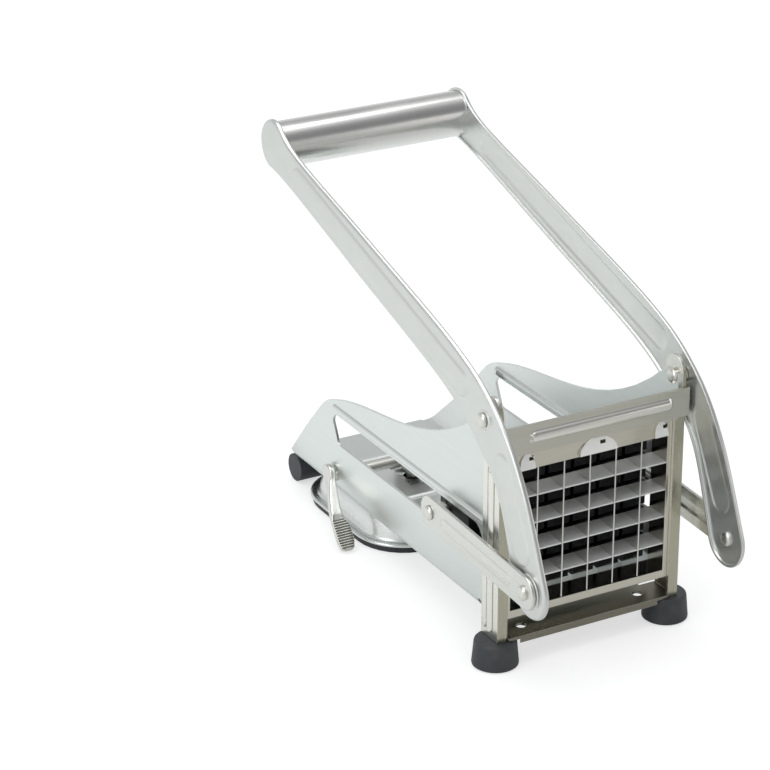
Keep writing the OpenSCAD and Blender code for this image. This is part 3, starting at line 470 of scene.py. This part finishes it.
# Rolled rim, a groove, then the wall, which curves over into the crown: how
# far in from the rim and how high, in mm, and for the wall in shares of its
# height. The inside follows it from the wall's foot up.
tall = (bowl_top - bowl_low) * 1000
outside = [(0.25, 0.0), (0.05, 0.15), (0, 0.5), (0.1, 0.95), (0.45, 1.3), (1.0, 1.42), (1.6, 1.3), (2.1, 1.0),
           (2.6, 0.82), (3.2, 0.85), (3.7, 1.1), (4.05, 1.6)]
wall_foot = len(outside) - 1
outside += [(inset, share * tall) for inset, share in (
    (4.3, 0.24), (4.75, 0.40), (5.3, 0.57), (6.0, 0.72), (6.9, 0.84), (8.2, 0.93), (10.0, 0.98), (12.5, 1.0))]
rows = [round_ring(inset / 1000, bowl_low + z / 1000) for inset, z in outside]
rows += [eye(stem_eye, bowl_top), eye(stem_eye, bowl_top - bowl_sheet)]
rows += [round_ring(inset / 1000 + bowl_inside, bowl_low + z / 1000 - bowl_sheet)
         for inset, z in reversed(outside[wall_foot:])]
rows += [round_ring(rim_wide, bowl_low)]
bm = bmesh.new()
rings = [[bm.verts.new(p) for p in row] for row in rows]
skin(bm, rings + rings[:1])
suction_bowl = turn_into("suction_bowl", bm, bowl_steel)
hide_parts("suction_housing")
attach(suction_bowl, "frame")
pad_rubber = rubber("pad rubber", (0.020, 0.022, 0.026), (0.040, 0.042, 0.046), 0.42)
finish("suction_pad", pad_rubber)
stem_steel = metal("plated stem", (0.45, 0.45, 0.44), (0.38, 0.37, 0.34), 0.34, 0.08, (500, 500, 500))
finish("suction_stem", stem_steel)


# ---- Suction lever --------------------------------------------------------
# A small die-cast lever with a ribbed thumb grip, tumbled so that its skin is
# soft and a little mottled.
cast_metal = metal("tumbled casting", (0.80, 0.785, 0.75), (0.72, 0.705, 0.67),
                   0.24, 0.03, (120, 120, 120), 0.0002, 0.02)
tab_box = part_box("suction_lever")
shaft_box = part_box("suction_shaft")
shaft_mid = (shaft_box[0] + shaft_box[1]) / 2
tab_root = Vector((tab_box[1].x, shaft_mid.y, shaft_mid.z))
tab_low = tab_box[0].z
# The lever hangs from its shaft at drop_turn, and the grip bends on from it
drop_turn = Matrix.Rotation(math.radians(33.5), 3, "X")
grip_bend = 21
along = Vector((-math.cos(math.radians(grip_bend)), -math.sin(math.radians(grip_bend))))
above = Vector((along.y, -along.x))
grip_start = Vector((-23.0, 1.3))
grip_mid = 4.3 - (tab_box[1].x - tab_box[0].x) * 1000
grip_thick = 1.3
rib_pitch, rib_count, first_rib = 1.17, 11, 2.0

# Stations in mm from the hub to the tip: y, z, slope in degrees, inner x,
# outer x, half thickness, rib height. First the round hub
hub = 4.5
stations = []
for a in (5, 18, 32, 46, 60, 75, 90, 105, 118):
    shy = 0.6 if a < 40 else 0
    stations.append((hub * math.cos(math.radians(a)), 0, 0, -0.2 - shy, -3.3 + shy,
                     hub * math.sin(math.radians(a)), 0))
# then the neck, which widens and leans outwards
stations += [
    (-3.6, 0, 0, -0.7, -3.7, 3.2, 0), (-5.5, 0, 0, -1.4, -4.7, 2.6, 0), (-8, 0, 0, -2.0, -5.9, 2.4, 0),
    (-12, 0, 0, -3.0, -7.6, 2.3, 0), (-16, 0, 0, -4.0, -9.2, 2.25, 0), (-19.5, 0, 0, -4.85, -10.3, 2.2, 0),
    (-21.5, -0.1, 4, -5.0, -10.8, 2.15, 0), (-22.6, -0.3, 10, -5.0, -11.0, 1.95, 0)]


def grip_row(run, wide_half, rib, trim=0.0):
    """A station of the grip. trim: how much narrower it is on the inside."""
    at = grip_start + run * along - grip_thick * above
    return (at.x, at.y, grip_bend, grip_mid + wide_half - trim, grip_mid - wide_half, grip_thick, rib)


# and the grip with its ribs
stations += [grip_row(0.6, 4.0, 0, 1.9), grip_row(1.4, 4.15, 0, 2.0)]
for i in range(rib_count):
    wide_half = 4.25 - 0.35 * max(0, i - 8)
    for step, rib, shy in ((0, 0, 0.1), (0.16, 0.60, 0), (0.50, 0.66, 0), (0.66, 0, 0.1)):
        trim = max(0, 1.9 - 0.8 * (i + step))
        stations.append(grip_row(first_rib + rib_pitch * i + step, wide_half - shy, rib, trim))
stations += [grip_row(15.2, 3.1, 0), grip_row(15.9, 2.3, 0), grip_row(16.3, 1.2, 0)]


def squarish(c):
    """Draws a circle's sine or cosine out towards a square with round corners."""
    return math.copysign(abs(c) ** 0.45, c)


bm = bmesh.new()
rings = []
for y, z, slope, inner, outer, thick, rib in stations:
    slope = math.radians(slope)
    up = Vector((0, -math.sin(slope), math.cos(slope)))
    mid, half = (inner + outer) / 2, abs(inner - outer) / 2
    ring = []
    for n in range(32):
        a = 2 * math.pi * n / 32
        x, h = squarish(math.cos(a)), squarish(math.sin(a)) * thick
        if h > 0.6 * thick and abs(x) < 0.93:
            h += rib
        p = tab_root + drop_turn @ (Vector((mid + half * x, y, z)) + h * up) / 1000
        p.z = max(p.z, tab_low)
        ring.append(bm.verts.new(p))
    rings.append(ring)
skin(bm, rings)
bm.faces.new(rings[0])
bm.faces.new(rings[-1])
tab = turn_into("suction_lever_casting", bm, cast_metal)
crisp = tab.modifiers.new("rib edges", "EDGE_SPLIT")
crisp.split_angle = math.radians(38)
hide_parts("suction_lever")
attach(tab, "suction_lever")
# Painted shade in the grooves between the ribs, found by the run along the grip in mm
tree = cast_metal.node_tree
spot = put(tree, "TexCoord")
grip_way = drop_turn @ Vector((0, along.x, along.y))
grip_from = tab_root + drop_turn @ Vector((0, grip_start.x, grip_start.y)) / 1000
reach = put(tree, "VectorMath", {0: spot.outputs["Object"], 1: grip_way * 1000}, operation="DOT_PRODUCT")
run = reckon(cast_metal, "SUBTRACT", reach.outputs["Value"], 1000 * grip_from.dot(grip_way) + first_rib)
step = reckon(cast_metal, "FLOORED_MODULO", run, rib_pitch)
painted_groove_shade = reckon(cast_metal, "GREATER_THAN", step, 0.62)
painted_groove_shade = reckon(cast_metal, "MULTIPLY", painted_groove_shade, reckon(cast_metal, "GREATER_THAN", run, -0.6))
painted_groove_shade = reckon(cast_metal, "MULTIPLY", painted_groove_shade, reckon(cast_metal, "LESS_THAN", run, rib_pitch * rib_count))
up_face = drop_turn @ Vector((0, above.x, above.y))
painted_groove_shade = reckon(cast_metal, "MULTIPLY", painted_groove_shade, faces_towards(cast_metal, up_face, 0.8))
recolour(cast_metal, painted_groove_shade, (0.30, 0.28, 0.24))


# ---- Pusher ---------------------------------------------------------------
# One black moulding with a stud for each cell: fine spark texture, and a faint
# sheen painted on all its edges as a painted highlight.
black = bpy.data.materials.new("black moulding")
black.use_nodes = True
tree = black.node_tree
place = put(tree, "TexCoord").outputs["Object"]
spark = put(tree, "TexNoise", {"Vector": place, "Scale": 1800, "Detail": 4})
rub = put(tree, "TexNoise", {"Vector": place, "Scale": 90, "Detail": 5})
shade = put(tree, "Mix", {"Factor": rub.outputs[0], "A": (0.006, 0.006, 0.008, 1),
                          "B": (0.012, 0.012, 0.015, 1)}, data_type="RGBA")
# The edge mask lightens every edge of the moulding: a painted highlight
worn = put(tree, "Group", {"Radius": 0.0005}, node_tree=edges)
polished = put(tree, "Mix", {"Factor": worn.outputs["Edge"], "A": shade.outputs["Result"],
                             "B": (0.07, 0.07, 0.075, 1)}, data_type="RGBA")
dull = put(tree, "MapRange", {"Value": rub.outputs[0], "To Min": 0.26, "To Max": 0.44})
bump = put(tree, "Bump", {"Strength": 0.10, "Distance": 0.0001, "Height": spark.outputs[0],
                          "Normal": worn.outputs["Normal"]})
feed(tree, tree.nodes["Principled BSDF"], {
    "Base Color": polished.outputs["Result"], "Specular IOR Level": 0.28, "Roughness": dull.outputs[0],
    "Normal": bump.outputs[0]})
finish("pusher_block", black)


# ---- Handle arms ----------------------------------------------------------
# Two cranked arms pressed from stainless sheet: the rim is rolled inwards, two
# long crowned ribs are stamped outwards and the pins sit on raised seats.
arm_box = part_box("right_arm")
tube_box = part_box("handle_tube")
seat_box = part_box("right_link_rivet")
rim_x = arm_box[0].x
rib_height = 0.0007
web_x = arm_box[1].x - rib_height
sheet, roll, roll_inside, cut_edge = 0.0012, 0.0015, 0.0006, 0.0002
hinge_at = pivot.yz
handle_at = ((tube_box[0] + tube_box[1]) / 2).yz
foot_at = ((seat_box[0] + seat_box[1]) / 2).yz
rise = (handle_at - hinge_at).normalized()
rise_side = Vector((-rise.y, rise.x))
drop = (foot_at - hinge_at).normalized()
drop_side = Vector((drop.y, -drop.x))
past_tube = 0.0013
end_half = (tube_box[1].z - tube_box[0].z) / 2 + past_tube

# Centre line and half width, from the handle down to the lower pin
arm_line = [
    (handle_at, end_half),
    (handle_at - 0.021 * rise - 0.001 * rise_side, 0.0087),
    (hinge_at + 0.110 * rise + 0.001 * rise_side, 0.00975),
    (hinge_at + 0.034 * rise + 0.003 * rise_side, 0.0108),
    (hinge_at + Vector((0, -0.003)), 0.0116),
    (hinge_at + 0.031 * drop + 0.005 * drop_side, 0.0108),
    (foot_at, 0.0123)]


def smooth_run(knots, steps):
    """Points and half widths on a smooth curve through the knots."""
    rows = [(k[0].x, k[0].y, k[1]) for k in knots]
    run = []
    for i in range(len(rows) - 1):
        p0, p1, p2, p3 = (rows[max(0, min(len(rows) - 1, j))] for j in (i - 1, i, i + 1, i + 2))
        for n in range(steps):
            t = n / steps
            run.append([0.5 * (2 * b + t * (c - a) + t * t * (2 * a - 5 * b + 4 * c - d)
                               + t ** 3 * (3 * b - a - 3 * c + d)) for a, b, c, d in zip(p0, p1, p2, p3)])
    return run + [list(rows[-1])]


def turn(centre, radius, start, end, steps):
    """Points of an arc, in degrees."""
    angles = [math.radians(start + (end - start) * i / steps) for i in range(steps + 1)]
    return [centre + radius * Vector((math.cos(a), math.sin(a))) for a in angles]


arm_run = smooth_run(arm_line, 12)


def arm_edge(inset):
    """The arm's outline, drawn in from its edge."""
    left, right = [], []
    n = len(arm_run) - 1
    ways = []
    for i in range(n + 1):
        p, q = arm_run[max(0, i - 1)], arm_run[min(n, i + 1)]
        ways.append(Vector((q[0] - p[0], q[1] - p[1])).normalized())
    for (y, z, half), way in zip(arm_run[1:n], ways[1:n]):
        side = Vector((-way.y, way.x)) * (half - inset)
        left.append(Vector((y, z)) + side)
        right.append(Vector((y, z)) - side)
    last = math.degrees(math.atan2(ways[n].y, ways[n].x))
    head = math.degrees(math.atan2(ways[0].y, ways[0].x))
    toe = turn(foot_at, arm_run[n][2] - inset, last + 90, last - 90, 24)
    top = turn(handle_at, arm_run[0][2] - inset, head - 90, head - 270, 24)
    return left + toe + right[::-1] + top


def capsule(one, other, radius):
    """Outline of a bar with two equal round ends."""
    way = math.degrees(math.atan2(other.y - one.y, other.x - one.x))
    return turn(other, radius, way - 90, way + 90, 16) + turn(one, radius, way + 90, way + 270, 16)


def press(name, material, rim, stamps, side):
    """A sheet pressing. rim: outline rings and their x, from the free edge
    over the roll to the web; stamps: the same for each rib or seat."""
    bm = bmesh.new()

    def ring(points, x):
        verts = [bm.verts.new((side * x, p.x, p.y)) for p in points]
        return verts, [bm.edges.new((verts[i], verts[(i + 1) % len(verts)])) for i in range(len(verts))]

    free_edge = []
    for outer in (True, False):
        rows = [ring(points, x) for points, x in rim[outer]]
        skin(bm, [verts for verts, _ in rows])
        free_edge.append(rows[0][0])
        web = list(rows[-1][1])
        for stamp in (each for each in stamps if outer in each):
            rows = [ring(points, x) for points, x in stamp[outer]]
            skin(bm, [verts for verts, _ in rows])
            bm.faces.new(rows[-1][0])
            web += rows[0][1]
        bmesh.ops.triangle_fill(bm, edges=web, use_beauty=True)
    skin(bm, free_edge)
    obj = turn_into(name, bm, material)
    level = obj.modifiers.new("flat stays flat", "WEIGHTED_NORMAL")
    level.weight = 90
    level.keep_sharp = True
    return obj


def quarter(inset, x, radius, steps):
    """Inset and x along a rolled corner, from the rim to the web."""
    angles = [math.pi / 2 * i / steps for i in range(steps + 1)]
    return [(inset + radius * (1 - math.cos(a)), x - radius * (1 - math.sin(a))) for a in angles]


# The rim inside and outside the sheet, as insets from the edge and x
arm_rim = {}
for outer, skin_inset, skin_x, radius, steps in (
        (True, 0, web_x, roll, 6), (False, sheet, web_x - sheet, roll_inside, 3)):
    lip = skin_inset + cut_edge if outer else skin_inset - cut_edge
    profile = [(lip, rim_x), (skin_inset, rim_x + cut_edge)] + quarter(skin_inset, skin_x, radius, steps)
    arm_rim[outer] = [(arm_edge(inset), x) for inset, x in profile]

# Ribs and seats, from their foot to their crown: how far out from the nominal
# half width and how high over the web, in mm
rib_swell = [(0.4, 0), (0.15, 0.04), (-0.1, 0.14), (-0.5, 0.42), (-0.9, 0.60), (-1.3, 0.69), (-2.2, 0.78),
             (-3.4, 0.84), (-4.6, 0.87)]
seat_swell = [(0.5, 0), (0.3, 0.03), (0, 0.2), (-0.3, 0.45), (-0.6, 0.52)]
heart_front, heart_rear = 0.0003, 0.0002
stamps = []
for one, other, half in (
        (hinge_at + 0.0205 * rise + 0.0032 * rise_side,
         handle_at - 0.027 * rise - 0.0006 * rise_side, 0.0060),
        (hinge_at + 0.021 * drop + 0.0044 * drop_side,
         foot_at - 0.0165 * drop + 0.0028 * drop_side, 0.0066)):
    front = [(half + d / 1000, h) for d, h in rib_swell] + [(heart_front, 0.88)]
    rear = [(half + (d - 0.3) / 1000, h) for d, h in rib_swell] + [(heart_rear, 0.88)]
    stamps.append({
        True: [(capsule(one, other, r), web_x + h / 1000) for r, h in front],
        False: [(capsule(one, other, r), web_x - sheet + h / 1000) for r, h in rear]})
for centre, half in ((hinge_at, 0.0042), (foot_at, 0.0074)):
    front = [(half + d / 1000, h) for d, h in seat_swell] + [(heart_front, 0.52)]
    stamps.append({True: [(turn(centre, r, 0, 360, 32)[:-1], web_x + h / 1000) for r, h in front]})
arm_steel = metal("pressed arm sheet", (0.765, 0.78, 0.76), (0.72, 0.735, 0.71), 0.31, 0.05, (700, 70, 160))
# A satin skin that still scatters a little light of its own
arm_steel.node_tree.nodes["Principled BSDF"].inputs["Metallic"].default_value = 0.86
for name, side in (("left_arm", -1), ("right_arm", 1)):
    arm = press(name + "_pressing", arm_steel, arm_rim, stamps, side)
    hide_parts(name)
    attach(arm, "lever")


# ---- Handle tube ----------------------------------------------------------
# A round stainless tube between the arms, brushed round its girth, so the
# light runs along it in soft bands.
tube_steel = metal("brushed tube", (0.86, 0.86, 0.85), (0.80, 0.795, 0.78),
                   0.24, 0.04, (1600, 25, 25), 0.0002, 0.05, aniso=0.4)
finish("handle_tube", tube_steel)


# ---- Links ----------------------------------------------------------------
# Two flat steel links with round ends, a stamped centre rib and edges broken
# in the press, from the arms' lower ends to the pusher's cross pin.
link_steel = metal("link strip", (0.80, 0.80, 0.765), (0.74, 0.735, 0.70), 0.27, 0.05, (700, 40, 700))
link_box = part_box("right_link")
pin_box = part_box("pusher_cross_pin")
cross_at = ((pin_box[0] + pin_box[1]) / 2).yz
link_half, link_edge = 0.0073, 0.00015
link_back, link_face = link_box[0].x, link_box[1].x - 0.0006
link_profile = [(link_edge, link_back), (0, link_back + link_edge)] + quarter(0, link_face, 0.0005, 4)
link_rim = {
    True: [(capsule(foot_at, cross_at, link_half - inset), x) for inset, x in link_profile],
    False: [(capsule(foot_at, cross_at, link_half - 0.0004), link_back)]}
one, other = foot_at.lerp(cross_at, 0.17), cross_at.lerp(foot_at, 0.17)
front = [(3.4, 0), (3.1, 0.05), (2.7, 0.28), (2.3, 0.47), (1.9, 0.55), (1.2, 0.6), (0.1, 0.6)]
rear = [(2.7, 0), (2.4, 0.05), (2.0, 0.28), (1.6, 0.47), (1.2, 0.55), (0.5, 0.6)]
link_ribs = [{
    True: [(capsule(one, other, r / 1000), link_face + h / 1000) for r, h in front],
    False: [(capsule(one, other, r / 1000), link_back + h / 1000) for r, h in rear]}]
for name, side in (("left_link", -1), ("right_link", 1)):
    link = press(name + "_pressing", link_steel, link_rim, link_ribs, side)
    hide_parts(name)
    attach(link, name)


# ---- Strap bead -----------------------------------------------------------
# The long half-round bead that stiffens the strap's face, pressed from behind,
# with the strap's own sheet, painted lighter than the strap as a painted highlight.
bead_highlight_steel = metal("bead painted brighter", (0.93, 0.92, 0.88), (0.86, 0.85, 0.80),
                   0.24, 0.03, (35, 700, 700), 0.0002, 0.03)
strap_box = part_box("front_strap")
bead_in_cad = 0.0013
strap_face = strap_box[0].y + bead_in_cad
bead_height = (strap_box[0].z + strap_box[1].z) / 2 + 0.0006
bead_mid, bead_reach = 0.003, 0.032
bead_ends = [Vector((bead_mid + end * bead_reach, bead_height)) for end in (-1, 1)]
bm = bmesh.new()
rings = []
# Radius and how far it stands out of the strap's face, in mm
for radius, proud in ((3.1, -0.3), (2.9, 0.0), (2.6, 0.16), (2.25, 0.62), (1.9, 1.08), (1.4, 1.46),
                      (0.8, 1.68), (0.15, 1.75)):
    points = capsule(*bead_ends, radius / 1000)
    rings.append([bm.verts.new((p.x, strap_face - proud / 1000, p.y)) for p in points])
skin(bm, rings)
bm.faces.new(rings[0])
bm.faces.new(rings[-1])
strap_bead = turn_into("strap_bead", bm, bead_highlight_steel)
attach(strap_bead, "frame")
